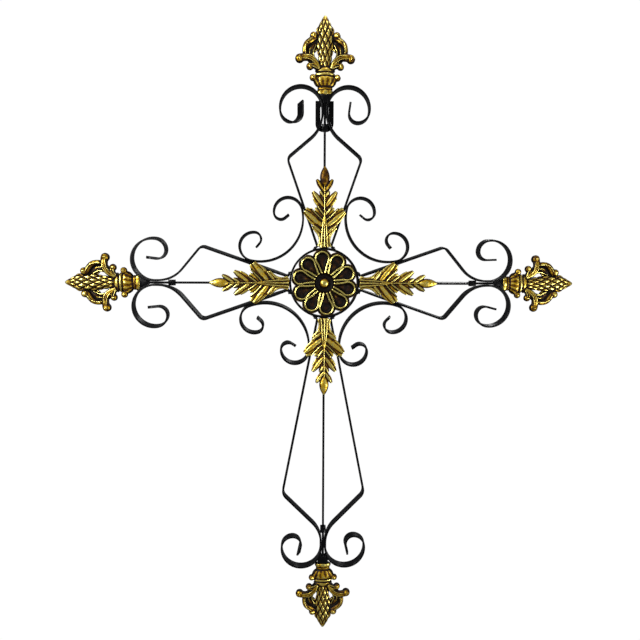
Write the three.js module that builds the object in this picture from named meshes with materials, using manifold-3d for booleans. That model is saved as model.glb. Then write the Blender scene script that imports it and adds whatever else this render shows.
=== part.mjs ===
// A wall cross of flat iron strip with cast leaves, rosette and finials. Millimetres, +Z up.
// The front faces -Y and the wall is behind, at +Y. The origin is where the cross hangs: under the
// top bar of the loop behind the neck of the top arm.
//
// Every arm is drawn pointing up and then turned about Y. In an arm's drawing "along" runs outwards
// from the middle of the cross and "across" runs to its right.

import * as THREE from "three";
import { mergeVertices } from "three/addons/utils/BufferGeometryUtils.js";
import Module from "manifold-3d";

const wasm = await Module();
wasm.setup();

// Clearance between pieces that touch
const contactGap = 0.3;

// Iron strip, which stands on edge so that its width runs from front to back
const stripThickness = 3;
const stripWidth = 12;
const centreBarWidth = 8;

// Ring and rosette in the middle
const ringDiameter = 102;
const petalCount = 10;
const petalTurn = -5;
const rosetteThickness = 8;
const rosetteProud = 2.5;
const petalNotch = 6.5;
const petalRim = 2.6;
const petalHollow = 2.8;
const dishRadius = 13.5;
const dishDepth = 4.5;
const buttonRadius = 7.8;

// Frame strips: the foot on the ring, and for each length of arm how far out the middle of its
// scroll is, how far across the corner of its bend is, the angle at which it runs back in, the
// straight stretch of its neck, and how far its finial stands off the scrolls
const footLength = 5.5;
const footAcross = 9.6;
const footBendRadius = 3;
const shortArm = { reach: 246, bendAcross: 53.3, bendRadius: 9, leanDegrees: 50, neckStraight: 6, finialLift: 0.6 };
const longArm = { reach: 406, bendAcross: 62, bendRadius: 14, leanDegrees: 44.5, neckStraight: 9, finialLift: 7 };
const neckBendRadius = 45;

// The C-scroll that ends each frame strip
const scrollRadius = 30;
const scrollTurn = 190;
const scrollInnerRadius = 16.5;
const scrollInnerTurn = 78;
const scrollEyeRadius = 12.5;
const scrollEyeTurn = 92;
const scrollTail = 15;

// Corner scrolls, which touch a frame strip with each curl. The middle of the arc stands this far
// outside the line between the middles of the curls.
const cornerArcOut = 22.6;
const curlAlong = 101.8;
const curlRadius = 20.5;
const curlTurn = 172;
const curlEyeRadius = 11;
const curlEyeTurn = 125;
const curlTail = 7;

// Finial stem: a tang between the strips, with a block at its inner end and a socket that spreads
// between the scrolls under the finial
const tangThickness = 3.2;
const tangWidth = 9;
const blockSize = 8.4;
const blockLength = 9;
const socketLength = 12;
const socketWidth = 16;
const socketDepth = 10;

// Cast finial
const finialLength = 106;
const finialDepth = 15;
const finialFootRadius = 7.5;
const finialFlareRadius = 11;
const finialFlareHeight = 4;

// Cast leaf spray
const sprayLength = 113;
const sprayRelief = 5.5;
const sprayStemLength = 27;
const sprayStemBack = 3;
const sprayFootHalf = 7.6;

// Hanging loop behind the neck of the top arm
const loopWidth = 26;
const loopHeight = 42;
const loopBar = 7;
const loopDepth = 5;
const loopTopPastScroll = 13;
const loopCornerRadius = 11;

const halfStrip = stripThickness / 2;
const ringOuter = ringDiameter / 2;
const ringInner = ringOuter - stripThickness;
const frontEdge = -stripWidth / 2;
const backEdge = stripWidth / 2;
const neckHalf = tangThickness / 2 + contactGap + halfStrip;

// The iron is painted black and the castings are gilded
function ironPiece(name, geometry) {
  const material = new THREE.MeshStandardMaterial({ color: 0x15161a, roughness: 0.42, metalness: 0.3 });
  return namedMesh(name, geometry, material);
}

function goldPiece(name, geometry) {
  const material = new THREE.MeshStandardMaterial({ color: 0xb8922c, roughness: 0.36, metalness: 0.85 });
  return namedMesh(name, geometry, material);
}

function namedMesh(name, geometry, material) {
  const mesh = new THREE.Mesh(geometry, material);
  mesh.name = name;
  return mesh;
}

// Shares the points of neighbouring faces and drops the faces that a pole leaves empty
function welded(geometry) {
  const bare = geometry.clone();
  bare.deleteAttribute("normal");
  bare.deleteAttribute("uv");
  const merged = mergeVertices(bare, 1e-3);
  const index = Array.from(merged.index.array);
  const kept = [];
  for (let i = 0; i < index.length; i += 3) {
    const [a, b, c] = index.slice(i, i + 3);
    if (a !== b && b !== c && c !== a) kept.push(a, b, c);
  }
  merged.setIndex(kept);
  return merged;
}

function solidOf(geometry) {
  const closed = welded(geometry);
  return new wasm.Manifold(new wasm.Mesh({
    numProp: 3,
    vertProperties: new Float32Array(closed.attributes.position.array),
    triVerts: new Uint32Array(closed.index.array),
  }));
}

function geometryOf(solid) {
  const mesh = solid.getMesh();
  const geometry = new THREE.BufferGeometry();
  geometry.setAttribute("position", new THREE.BufferAttribute(new Float32Array(mesh.vertProperties), 3));
  geometry.setIndex(new THREE.BufferAttribute(new Uint32Array(mesh.triVerts), 1));
  return geometry;
}

// Joins geometries that run into each other into one casting
function castTogether(geometries) {
  return geometryOf(geometries.map(solidOf).reduce((sum, next) => sum.add(next)));
}

// Moves every point of a geometry by a rule
function reshape(geometry, rule) {
  const position = geometry.attributes.position;
  const point = new THREE.Vector3();
  for (let i = 0; i < position.count; i += 1) {
    point.fromBufferAttribute(position, i);
    rule(point);
    position.setXYZ(i, point.x, point.y, point.z);
  }
  return geometry;
}

// A shape drawn in X and Y becomes a slab that stands in X and Z, its middle at Y = 0
function standingSlab(shape, depth, curveSegments) {
  const slab = new THREE.ExtrudeGeometry(shape, { depth, bevelEnabled: false, curveSegments });
  return slab.translate(0, 0, -depth / 2).rotateX(Math.PI / 2);
}

// A bent strip is drawn as a smith bends it: it runs straight, or it turns round a radius. The path
// keeps the strip's middle line, with the heading at each point.
class StripPath {
  constructor(x, y, heading) {
    Object.assign(this, { x, y, heading });
    this.points = [{ x, y, heading }];
  }

  straight(length) {
    this.x += length * Math.cos(this.heading);
    this.y += length * Math.sin(this.heading);
    this.points.push({ x: this.x, y: this.y, heading: this.heading });
    return this;
  }

  // A positive angle turns to the left. A step leaves its chord by no more than the given amount.
  turn(radius, angle, chordError = 0.52) {
    const largestStep = 2 * Math.acos(1 - Math.min(chordError / radius, 0.2));
    const steps = Math.ceil(Math.abs(angle) / largestStep);
    const step = angle / steps;
    const chord = 2 * radius * Math.sin(Math.abs(step) / 2);
    for (let i = 0; i < steps; i += 1) {
      this.x += chord * Math.cos(this.heading + step / 2);
      this.y += chord * Math.sin(this.heading + step / 2);
      this.heading += step;
      this.points.push({ x: this.x, y: this.y, heading: this.heading });
    }
    return this;
  }

  // Runs straight towards a corner, bends round it and faces the next corner
  bendAt(corner, next, radius) {
    const outgoing = Math.atan2(next[1] - corner[1], next[0] - corner[0]);
    const angle = Math.atan2(Math.sin(outgoing - this.heading), Math.cos(outgoing - this.heading));
    const setBack = radius * Math.tan(Math.abs(angle) / 2);
    const distance = Math.hypot(corner[0] - this.x, corner[1] - this.y);
    return this.straight(distance - setBack).turn(radius, angle);
  }
}

// The strip's outline is its middle line moved half a thickness to each side
function stripGeometry(points) {
  const side = (offset) => points.map(({ x, y, heading }) => new THREE.Vector2(
    x - offset * Math.sin(heading),
    y + offset * Math.cos(heading),
  ));
  const outline = new THREE.Shape([...side(halfStrip), ...side(-halfStrip).reverse()]);
  return welded(standingSlab(outline, stripWidth, 1));
}

const degrees = Math.PI / 180;

// The point on the ring where a frame strip's foot turns outwards
const footRadius = ringOuter + contactGap + halfStrip;
const footAngle = Math.asin(footAcross / footRadius);
const footCorner = [footAcross, footRadius * Math.cos(footAngle)];

// Where an arm's strip straightens: the ends of the neck's bend, and the corners of that bend and of
// the wide one
function armPoints(arm) {
  const lean = arm.leanDegrees * degrees;
  const neckStart = arm.reach - arm.neckStraight;
  const neck = [neckHalf, neckStart - neckBendRadius * Math.tan(lean / 2)];
  const bend = [arm.bendAcross, neck[1] - (arm.bendAcross - neckHalf) / Math.tan(lean)];
  return { neckStart, neck, bend };
}

// Frame strip on the right of an arm: foot along the ring, out to the bend, back in to the neck, and
// round into the scroll
function frameStrip(arm) {
  const { neck, bend } = armPoints(arm);
  const footEndAngle = footAngle + footLength / footRadius;
  const footEnd = [footRadius * Math.sin(footEndAngle), footRadius * Math.cos(footEndAngle)];
  const heading = Math.atan2(footCorner[1] - footEnd[1], footCorner[0] - footEnd[0]);
  const path = new StripPath(...footEnd, heading);
  path.bendAt(footCorner, bend, footBendRadius);
  path.bendAt(bend, neck, arm.bendRadius);
  path.bendAt(neck, [neckHalf, arm.reach], neckBendRadius);
  path.straight(arm.neckStraight);
  path.turn(scrollRadius, -scrollTurn * degrees);
  path.turn(scrollInnerRadius, -scrollInnerTurn * degrees);
  path.turn(scrollEyeRadius, -scrollEyeTurn * degrees);
  path.straight(scrollTail);
  return path.points;
}

function mirrored(points) {
  return points.map(({ x, y, heading }) => ({ x: -x, y, heading: Math.PI - heading }));
}

// Where a curl's middle stands beside an arm's frame strip, touching it
function curlCentre(arm) {
  const { bend } = armPoints(arm);
  const lean = Math.atan2(bend[0] - footCorner[0], bend[1] - footCorner[1]);
  const reach = (curlRadius + stripThickness + contactGap) / Math.cos(lean);
  return footCorner[0] + (curlAlong - footCorner[1]) * Math.tan(lean) + reach;
}

// Corner scroll between a first arm, drawn pointing up, and the next one clockwise, pointing right:
// an arc that is tangent to both curls
function cornerScroll(firstArm, nextArm) {
  const first = new THREE.Vector2(curlCentre(firstArm), curlAlong);
  const next = new THREE.Vector2(curlAlong, curlCentre(nextArm));
  const halfChord = first.distanceTo(next) / 2;
  const outwards = new THREE.Vector2(first.y - next.y, next.x - first.x).normalize();
  const arcCentre = first.clone().add(next).multiplyScalar(0.5).addScaledVector(outwards, cornerArcOut);
  const arcRadius = Math.hypot(halfChord, cornerArcOut) + curlRadius;
  const middle = arcCentre.clone().addScaledVector(outwards, -arcRadius);
  const halfSweep = Math.atan2(halfChord, cornerArcOut);
  const half = (side) => {
    const path = new StripPath(middle.x, middle.y, outwards.angle() + side * Math.PI / 2);
    path.turn(arcRadius, -side * halfSweep);
    path.turn(curlRadius, -side * curlTurn * degrees);
    path.turn(curlEyeRadius, -side * curlEyeTurn * degrees);
    return path.straight(curlTail).points;
  };
  const backwards = half(-1).slice(1).reverse().map(({ x, y, heading }) => ({ x, y, heading: heading + Math.PI }));
  return [...backwards, ...half(1)];
}

// Centre ring: one strip bent round and closed
function ringGeometry() {
  const section = [
    [ringInner, frontEdge],
    [ringOuter, frontEdge],
    [ringOuter, backEdge],
    [ringInner, backEdge],
    [ringInner, frontEdge],
  ];
  return welded(new THREE.LatheGeometry(section.map(([x, y]) => new THREE.Vector2(x, y)), 36));
}

// Rosette: a turned disc whose points are moved to make petals. Within one petal they stand at the
// notch, on a rib, at both sides of the hollow and on the other rib.
function rosetteGeometry() {
  const notch = -0.5;
  const ribs = [-0.38, 0.38];
  const stations = [notch, ribs[0], -0.16, 0.16, ribs[1]];
  const segments = petalCount * stations.length;
  const outer = ringInner - contactGap;
  const front = frontEdge - rosetteProud;
  const floor = front + petalHollow;
  const rows = [
    { radius: () => 0, depth: front },
    { radius: () => buttonRadius * 0.7, depth: front + buttonRadius * 0.25 },
    { radius: () => buttonRadius, depth: front + dishDepth },
    { radius: () => dishRadius, depth: floor, onRib: front + 0.6 },
    { radius: (edge) => edge - petalRim * 2.4, depth: floor, onRib: front },
    { radius: (edge) => edge - petalRim, depth: front },
    { radius: (edge) => edge, depth: front + petalRim },
    { radius: (edge) => edge, depth: front + rosetteThickness },
    { radius: () => 0, depth: front + rosetteThickness },
  ];
  const profile = rows.map((row, i) => new THREE.Vector2(i === 0 || i === rows.length - 1 ? 0 : 1, i));
  return welded(reshape(new THREE.LatheGeometry(profile, segments), (point) => {
    const row = rows[Math.round(point.y)];
    const turn = Math.atan2(point.x, point.z) / (2 * Math.PI);
    const index = Math.round((turn + 1) * segments) % segments;
    const station = stations[index % stations.length];
    const petal = Math.floor(index / stations.length);
    const angle = (petalTurn + ((petal + station) * 360) / petalCount) * degrees;
    const onRib = ribs.includes(station);
    const cutBack = station === notch ? petalNotch : onRib ? petalNotch * 0.42 : 0;
    const radius = row.radius(outer - cutBack);
    const depth = onRib && row.onRib !== undefined ? row.onRib : row.depth;
    point.set(radius * Math.sin(angle), depth, radius * Math.cos(angle));
  }));
}

// A leaf, lobe or volute: a bar of few sides drawn along a curve, with a width and a thickness at
// each of its points. A point is [across, along, half width, half thickness].
function blade(points, { sides = 4, steps = 4, depth = 0, turn = 0 }) {
  const curve = new THREE.CatmullRomCurve3(points.map(([x, z]) => new THREE.Vector3(x, depth, z)));
  const valueAt = (column, t) => {
    const place = t * (points.length - 1);
    const i = Math.min(Math.floor(place), points.length - 2);
    return THREE.MathUtils.lerp(points[i][column], points[i + 1][column], place - i);
  };
  const bar = new THREE.CylinderGeometry(1, 1, 1, sides, steps, false, turn);
  return reshape(bar, (point) => {
    const t = THREE.MathUtils.clamp(point.y + 0.5, 0, 1);
    const centre = curve.getPoint(t);
    const tangent = curve.getTangent(t);
    const side = point.x * valueAt(2, t);
    const lift = point.z * valueAt(3, t);
    point.set(centre.x - side * tangent.z, centre.y + lift, centre.z + side * tangent.x);
  });
}

function bothSides(points) {
  return [points, points.map(([across, ...rest]) => [-across, ...rest])];
}

// Leaf spray on an arm: the stem stands on the ring between the feet of the frame strips, and the
// lobes lie over the front edges of the strips. A lobe's row is [root along, tip across, tip along,
// half width], in hundredths of the spray's length from its foot.
const sprayFoot = ringOuter + contactGap;
const sprayStemEnd = sprayFoot + sprayStemLength;

function sprayGeometry() {
  const lobeRows = [
    [67.3, 10.6, 84.1, 2.5],
    [52.3, 14.6, 70.4, 3],
    [46.1, 13.7, 62, 2.3],
    [29.3, 26.1, 47.9, 5.3],
    [17.8, 15.5, 29.3, 3],
  ];
  const unit = sprayLength / 100;
  const at = (share) => sprayFoot + share * unit;
  const back = frontEdge - contactGap;
  const lobeThickness = sprayRelief * 0.4;
  const lobeDepth = back - lobeThickness / 2;
  const ribDepth = back - sprayRelief * 0.4;
  const lobes = lobeRows.flatMap(([root, across, tip, half]) => bothSides([
    [0, at(root), half * unit * 0.7, lobeThickness],
    [across * unit * 0.6, at((root + tip) / 2), half * unit, lobeThickness],
    [across * unit, at(tip), half * unit * 0.35, lobeThickness * 0.6],
  ]));
  const bud = [
    [0, at(77), unit * 1.8, sprayRelief * 0.3],
    [0, at(84), unit * 5.3, sprayRelief * 0.6],
    [0, at(93), unit * 5, sprayRelief * 0.55],
    [0, at(100), unit * 0.9, sprayRelief * 0.2],
  ];
  const midrib = [
    [0, sprayStemEnd - sprayStemLength * 0.3, unit * 4, sprayRelief * 0.7],
    [0, at(80.5), unit * 1.4, sprayRelief * 0.4],
  ];
  const stemHalf = (sprayStemBack - back + sprayRelief) / 2;
  const stem = [
    [0, sprayFoot, sprayFootHalf, stemHalf],
    [0, sprayFoot + sprayStemLength / 3, sprayFootHalf * 0.74, stemHalf],
    [0, sprayStemEnd, sprayFootHalf, stemHalf],
  ];
  return castTogether([
    ...lobes.map((points) => blade(points, { sides: 3, steps: 2, depth: lobeDepth, turn: Math.PI })),
    blade(bud, { sides: 4, steps: 3, depth: ribDepth }),
    blade(midrib, { sides: 4, steps: 1, depth: ribDepth }),
    blade(stem, { sides: 6, steps: 2, depth: sprayStemBack - stemHalf, turn: Math.PI / 6 }),
  ]);
}

// Finial, drawn from its foot upwards: a scaled core, a turned foot, bowl and neck, and scrolled
// leaves on both sides. Its rows are in hundredths of its length, and the casting is flattened from
// front to back. A row of a turned part is [radius, height].
function finialGeometry() {
  const unit = finialLength / 100;
  const turned = (rows, segments) => {
    const points = rows.map(([radius, height]) => new THREE.Vector2(radius, height));
    const widest = Math.max(...rows.map(([radius]) => radius));
    return new THREE.LatheGeometry(points, segments).rotateX(Math.PI / 2).scale(1, finialDepth / 2 / widest, 1);
  };
  const sized = (rows) => rows.map((row) => row.map((value) => value * unit));
  const coreRows = sized([
    [0, 31], [7.6, 34], [9, 44], [10.4, 54], [11.9, 63], [12.4, 73], [11, 81], [6.6, 90], [0, 100],
  ]);
  const coreSegments = 10;
  const core = reshape(turned(coreRows, coreSegments), (point) => {
    const row = coreRows.findIndex(([, height]) => Math.abs(height - point.z) < unit * 0.01);
    const segment = Math.round((Math.atan2(point.x, -point.y) / (2 * Math.PI)) * coreSegments);
    const scale = (row + segment) % 2 === 0 ? 1.08 : 0.9;
    point.x *= scale;
    point.y *= scale;
  });
  const foot = turned([
    [0, 0],
    [finialFootRadius, 0],
    [finialFlareRadius, finialFlareHeight],
    ...sized([[8.6, 7.2], [11.4, 10.4], [16, 19], [12.6, 23], [14.2, 26], [12.6, 28.4], [13.4, 31], [10.8, 34.4], [0, 35]]),
  ], 8);
  // Rows of [across, along, half width, half thickness]
  const leaf = [[7.5, 34, 2.8, 2.8], [19, 44.4, 4.2, 2.8], [27, 57.6, 3.6, 3.2], [22.2, 68, 3.2, 3], [15.6, 76, 4, 3.4]];
  const volute = [[7.5, 32, 2.8, 2.8], [17, 44.4, 2.8, 2.8], [28.3, 49, 3.2, 3], [35.5, 43.8, 3.8, 3.6]];
  const lowVolute = [[7.5, 31, 2.4, 2.8], [16, 37.2, 2.4, 2.8], [23, 35.4, 3.4, 3.4]];
  const bowlVolute = [[11.3, 17, 2.4, 2.8], [17.5, 20.2, 3.2, 3.4]];
  const scrolls = [
    { rows: leaf, sides: 4, steps: 4, turn: Math.PI / 4 },
    { rows: volute, sides: 4, steps: 4 },
    { rows: lowVolute, sides: 4, steps: 2 },
    { rows: bowlVolute, sides: 4, steps: 1 },
  ];
  const leaves = scrolls.flatMap(({ rows, ...form }) => bothSides(sized(rows)).map((points) => blade(points, form)));
  return castTogether([core, foot, ...leaves]);
}

// From the middle of a scroll to just outside its strip
const scrollOutside = scrollRadius + halfStrip + contactGap;

// How far out a finial's foot stands: its foot and its flare clear the two scrolls between which
// they sit, and then comes the arm's own lift
function finialAlong(arm) {
  const beside = (radius, height) => {
    const across = neckHalf + scrollRadius - radius;
    return Math.sqrt(Math.max(scrollOutside ** 2 - across ** 2, 0)) - height;
  };
  const clear = Math.max(beside(finialFootRadius, 0), beside(finialFlareRadius, finialFlareHeight));
  return arm.reach + clear + arm.finialLift;
}

// Where the frame strips have closed in on the block, seen from the outer end of the neck
function blockOuterEnd(arm) {
  const { neckStart } = armPoints(arm);
  const room = blockSize / 2 + contactGap + halfStrip - neckHalf;
  const angle = Math.acos(1 - room / neckBendRadius);
  return neckStart - neckBendRadius * Math.sin(angle) - contactGap;
}

// The socket is a wedge as wide as the two scrolls let it be
function socketGeometry(arm, end) {
  const outline = [];
  for (let i = 0; i <= 3; i += 1) {
    const along = end - socketLength * (1 - i / 3);
    const past = Math.min(along - arm.reach, scrollOutside);
    const room = neckHalf + scrollRadius - Math.sqrt(scrollOutside ** 2 - past ** 2) - contactGap;
    outline.push(new THREE.Vector2(Math.min(room, socketWidth / 2), along));
  }
  const otherSide = outline.map(({ x, y }) => new THREE.Vector2(-x, y)).reverse();
  return standingSlab(new THREE.Shape([...outline, ...otherSide]), socketDepth, 1);
}

function stemGeometry(arm) {
  const blockEnd = blockOuterEnd(arm);
  const tangEnd = finialAlong(arm) - contactGap;
  const tangStart = blockEnd - blockLength / 2;
  const block = new THREE.BoxGeometry(blockSize, blockSize, blockLength);
  const tang = new THREE.BoxGeometry(tangThickness, tangWidth, tangEnd - tangStart);
  block.translate(0, 0, blockEnd - blockLength / 2);
  tang.translate(0, 0, (tangStart + tangEnd) / 2);
  return castTogether([block, tang, socketGeometry(arm, tangEnd)]);
}

// A narrower strip on edge runs from the leaf spray to the block
function centreBarGeometry(arm) {
  const start = sprayStemEnd + contactGap;
  const end = blockOuterEnd(arm) - blockLength - contactGap;
  const bar = new THREE.BoxGeometry(stripThickness, centreBarWidth, end - start);
  return welded(bar.translate(0, 0, (start + end) / 2));
}

// Hanging loop: a closed link with square corners above and round ones below
function linkOutline(halfWidth, bottom, top, radius) {
  const outline = new THREE.Shape();
  outline.moveTo(-halfWidth, top);
  outline.lineTo(-halfWidth, bottom + radius);
  outline.absarc(-halfWidth + radius, bottom + radius, radius, Math.PI, Math.PI * 1.5);
  outline.absarc(halfWidth - radius, bottom + radius, radius, -Math.PI / 2, 0);
  outline.lineTo(halfWidth, top);
  outline.closePath();
  return outline;
}

const loopTop = shortArm.reach + loopTopPastScroll;
const loopMiddleDepth = backEdge + contactGap + loopDepth / 2;

function loopGeometry() {
  const bottom = loopTop - loopHeight;
  const outline = linkOutline(loopWidth / 2, bottom, loopTop, loopCornerRadius);
  outline.holes.push(linkOutline(
    loopWidth / 2 - loopBar,
    bottom + loopBar,
    loopTop - loopBar,
    loopCornerRadius - loopBar,
  ));
  return welded(standingSlab(outline, loopDepth, 3).translate(0, loopMiddleDepth, 0));
}

// The cross is put together about its middle and then moved so that the origin is under the loop
const cross = new THREE.Group();
cross.position.set(0, -loopMiddleDepth, -(loopTop - loopBar));

cross.add(ironPiece("centre_ring", ringGeometry()));
cross.add(goldPiece("rosette", rosetteGeometry()));
cross.add(ironPiece("hanging_loop", loopGeometry()));

// Clockwise from the top. The sides are named for where the strips on the left and on the right of
// the arm's drawing end up.
const arms = [
  { name: "top", form: shortArm, sides: ["left", "right"], corner: "upper_right" },
  { name: "right", form: shortArm, sides: ["upper", "lower"], corner: "lower_right" },
  { name: "bottom", form: longArm, sides: ["right", "left"], corner: "lower_left" },
  { name: "left", form: shortArm, sides: ["lower", "upper"], corner: "upper_left" },
];

const spray = sprayGeometry();
const finial = finialGeometry();

arms.forEach(({ name, form, sides, corner }, i) => {
  const nextForm = arms[(i + 1) % arms.length].form;
  const arm = new THREE.Group();
  arm.rotation.y = (i * Math.PI) / 2;
  const strip = frameStrip(form);
  arm.add(ironPiece(`frame_strip_${name}_${sides[0]}`, stripGeometry(mirrored(strip))));
  arm.add(ironPiece(`frame_strip_${name}_${sides[1]}`, stripGeometry(strip)));
  arm.add(ironPiece(`corner_scroll_${corner}`, stripGeometry(cornerScroll(form, nextForm))));
  arm.add(ironPiece(`centre_bar_${name}`, centreBarGeometry(form)));
  arm.add(ironPiece(`finial_stem_${name}`, stemGeometry(form)));
  arm.add(goldPiece(`leaf_spray_${name}`, spray.clone()));
  const head = goldPiece(`finial_${name}`, finial.clone());
  head.position.z = finialAlong(form);
  arm.add(head);
  cross.add(arm);
});

const group = new THREE.Group();
group.add(cross);

export default group;
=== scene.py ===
"""A wall cross of black iron strip with gilded castings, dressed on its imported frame.

Everything is in metres, with the front at -Y, the wall at +Y and the origin under the hanging loop."""

import math

import bpy
import numpy as np
from mathutils import Matrix, Vector


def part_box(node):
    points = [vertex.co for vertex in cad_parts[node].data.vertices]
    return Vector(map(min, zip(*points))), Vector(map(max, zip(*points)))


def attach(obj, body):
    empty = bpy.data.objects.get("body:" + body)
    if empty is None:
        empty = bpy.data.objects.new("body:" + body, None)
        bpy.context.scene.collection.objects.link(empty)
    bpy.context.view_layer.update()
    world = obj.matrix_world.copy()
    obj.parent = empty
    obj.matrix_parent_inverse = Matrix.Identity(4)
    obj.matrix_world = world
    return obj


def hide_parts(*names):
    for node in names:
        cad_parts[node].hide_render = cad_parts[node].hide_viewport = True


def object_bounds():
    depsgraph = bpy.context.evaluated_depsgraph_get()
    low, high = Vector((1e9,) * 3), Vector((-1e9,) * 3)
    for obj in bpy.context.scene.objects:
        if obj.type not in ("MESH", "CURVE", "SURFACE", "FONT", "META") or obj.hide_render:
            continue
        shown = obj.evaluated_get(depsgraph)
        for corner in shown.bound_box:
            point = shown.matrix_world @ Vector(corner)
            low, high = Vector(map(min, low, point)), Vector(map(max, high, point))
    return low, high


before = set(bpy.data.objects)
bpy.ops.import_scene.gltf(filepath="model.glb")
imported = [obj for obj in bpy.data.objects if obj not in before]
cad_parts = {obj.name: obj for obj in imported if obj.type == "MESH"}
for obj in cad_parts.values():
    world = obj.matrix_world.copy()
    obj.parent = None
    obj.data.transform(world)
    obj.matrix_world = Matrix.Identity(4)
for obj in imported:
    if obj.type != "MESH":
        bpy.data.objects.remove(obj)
cad_low, cad_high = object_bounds()

# Centre ring: a strip of mild steel on edge, bent round, closed with a weld and painted black.
# Everything else is set out from its middle. Each arm is drawn pointing up, with "across" to its
# right and "along" outwards, and is then turned about the middle.

mm = 0.001
ring_low, ring_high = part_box("centre_ring")
middle = (ring_low + ring_high) / 2
ring_outer = (ring_high.x - ring_low.x) / 2
strip_width = ring_high.y - ring_low.y
strip_thickness = 3 * mm
half_strip = strip_thickness / 2
strip_edge_radius = 0.45 * mm
contact_gap = 0.3 * mm
neck_held = 4 * mm
lean_grows_over = 12 * mm


def linear(hex_colour):
    """An sRGB hex colour as the linear RGBA that a shader takes."""
    parts = [int(hex_colour[i : i + 2], 16) / 255 for i in (1, 3, 5)]
    return (*[c / 12.92 if c <= 0.04045 else ((c + 0.055) / 1.055) ** 2.4 for c in parts], 1)


def add_node(tree, kind, settings=None, inputs=None, **links):
    """Adds a node, sets its properties and its sockets, and links sockets named with underscores."""
    node = tree.nodes.new(kind)
    for key, value in (settings or {}).items():
        setattr(node, key, value)
    for key, value in (inputs or {}).items():
        node.inputs[key].default_value = value
    for key, source in links.items():
        tree.links.new(source, node.inputs[key.replace("_", " ")])
    return node


def new_material(name, hex_colour):
    """A material with its Principled shader, and the colour that it shows in a viewport."""
    material = bpy.data.materials.new(name)
    material.use_nodes = True
    material.diffuse_color = linear(hex_colour)
    return material, material.node_tree, material.node_tree.nodes["Principled BSDF"]


def ramp(tree, factor, *stops):
    """A colour ramp with stops of (place, sRGB hex)."""
    node = add_node(tree, "ShaderNodeValToRGB", Fac=factor)
    elements = node.color_ramp.elements
    while len(elements) < len(stops):
        elements.new(0.5)
    for element, (place, colour) in zip(elements, stops):
        element.position = place
        element.color = linear(colour)
    return node.outputs["Color"]


# Semi-gloss black enamel, brushed on mild steel: a deep blue-black coat with a soft orange peel,
# which goes grey only where the light skims along it
black_enamel, tree, shader = new_material("black_enamel_on_steel", "#15161a")
place = add_node(tree, "ShaderNodeTexCoord").outputs["Object"]
brushing = add_node(tree, "ShaderNodeTexNoise", inputs={"Scale": 1 / (9 * mm), "Detail": 4}, Vector=place)
peel = add_node(tree, "ShaderNodeTexNoise", inputs={"Scale": 1 / (1.6 * mm), "Detail": 2}, Vector=place)
tree.links.new(
    ramp(tree, brushing.outputs["Fac"], (0.3, "#020203"), (0.55, "#060608"), (0.75, "#0d0e11")),
    shader.inputs["Base Color"],
)
gloss = add_node(
    tree, "ShaderNodeMapRange", inputs={"To Min": 0.26, "To Max": 0.36}, Value=brushing.outputs["Fac"]
)
tree.links.new(gloss.outputs["Result"], shader.inputs["Roughness"])
surface = add_node(
    tree, "ShaderNodeBump", inputs={"Strength": 0.15, "Distance": 0.1 * mm}, Height=peel.outputs["Fac"]
)
tree.links.new(surface.outputs["Normal"], shader.inputs["Normal"])
shader.inputs["IOR"].default_value = 1.5
shader.inputs["Specular IOR Level"].default_value = 0.22


def new_piece(name, points, faces, material, material_slot, *nodes):
    """A mesh piece that rides on the body, takes a finish and stands for CAD nodes. Its material slot is
    not used.
    """
    mesh = bpy.data.meshes.new(name)
    mesh.from_pydata([tuple(p) for p in points], [], faces)
    mesh.validate()
    mesh.shade_smooth()
    mesh.materials.append(material)
    piece = bpy.data.objects.new(name, mesh)
    bpy.context.scene.collection.objects.link(piece)
    flats = piece.modifiers.new("flats kept flat", "WEIGHTED_NORMAL")
    flats.weight = 100
    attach(piece, "root")
    if nodes:
        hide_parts(*nodes)
    return piece


def tube_faces(rings, sides, closed=False):
    """Quads between rings of points, with a cap at each end unless the rings close on themselves."""
    faces = []
    for i in range(rings if closed else rings - 1):
        a, b = i * sides, (i + 1) % rings * sides
        faces += [(a + j, a + (j + 1) % sides, b + (j + 1) % sides, b + j) for j in range(sides)]
    if not closed:
        faces += [tuple(range(sides))[::-1], tuple((rings - 1) * sides + j for j in range(sides))]
    return faces


def rounded_section(thickness, width, corner):
    """A rolled bar's section, as (across its thickness, along its width), with rounded corners."""
    section = []
    for quarter, (x, y) in enumerate([(1, 1), (-1, 1), (-1, -1), (1, -1)]):
        for step in range(4):
            angle = (quarter + step / 3) * math.pi / 2
            section.append((
                x * (thickness / 2 - corner) + corner * math.cos(angle),
                y * (width / 2 - corner) + corner * math.sin(angle),
            ))
    return section


def set_out(turn, across, along, depth=0):
    """A point of an arm's drawing as a point of the cross."""
    local = Vector((across, depth, along))
    local.rotate(Matrix.Rotation(turn, 3, "Y"))
    return middle + local


def strip_points(path, turn, section, twist=0, twist_length=1, oblique=0, lean=0):
    """Sweeps a section along a path of (across, along, heading), and turns it over its last stretch.

    An oblique end is cut slanting from front to back. A strip that leans has its front edge moved
    across, except where the neck of the arm holds it."""
    lengths = [0]
    for (x0, y0, _), (x1, y1, _) in zip(path, path[1:]):
        lengths.append(lengths[-1] + math.hypot(x1 - x0, y1 - y0))
    points = []
    for (x, y, heading), length in zip(path, lengths):
        # The twist is complete a little before the end, which is left straight
        end = max(0, 1 - (lengths[-1] - length) / twist_length)
        eased = min(1, end * 1.8)
        twisted = twist * eased * eased * (3 - 2 * eased)
        for a, b in section:
            offset = a * math.cos(twisted) - b * math.sin(twisted)
            depth = a * math.sin(twisted) + b * math.cos(twisted)
            shift = oblique * end**4 * depth
            free = min(max((abs(x) - neck_held) / lean_grows_over, 0), 1)
            across = x - offset * math.sin(heading) + shift * math.cos(heading) + lean * depth * free
            along = y + offset * math.cos(heading) + shift * math.sin(heading)
            points.append(set_out(turn, across, along, depth))
    return points


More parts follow.
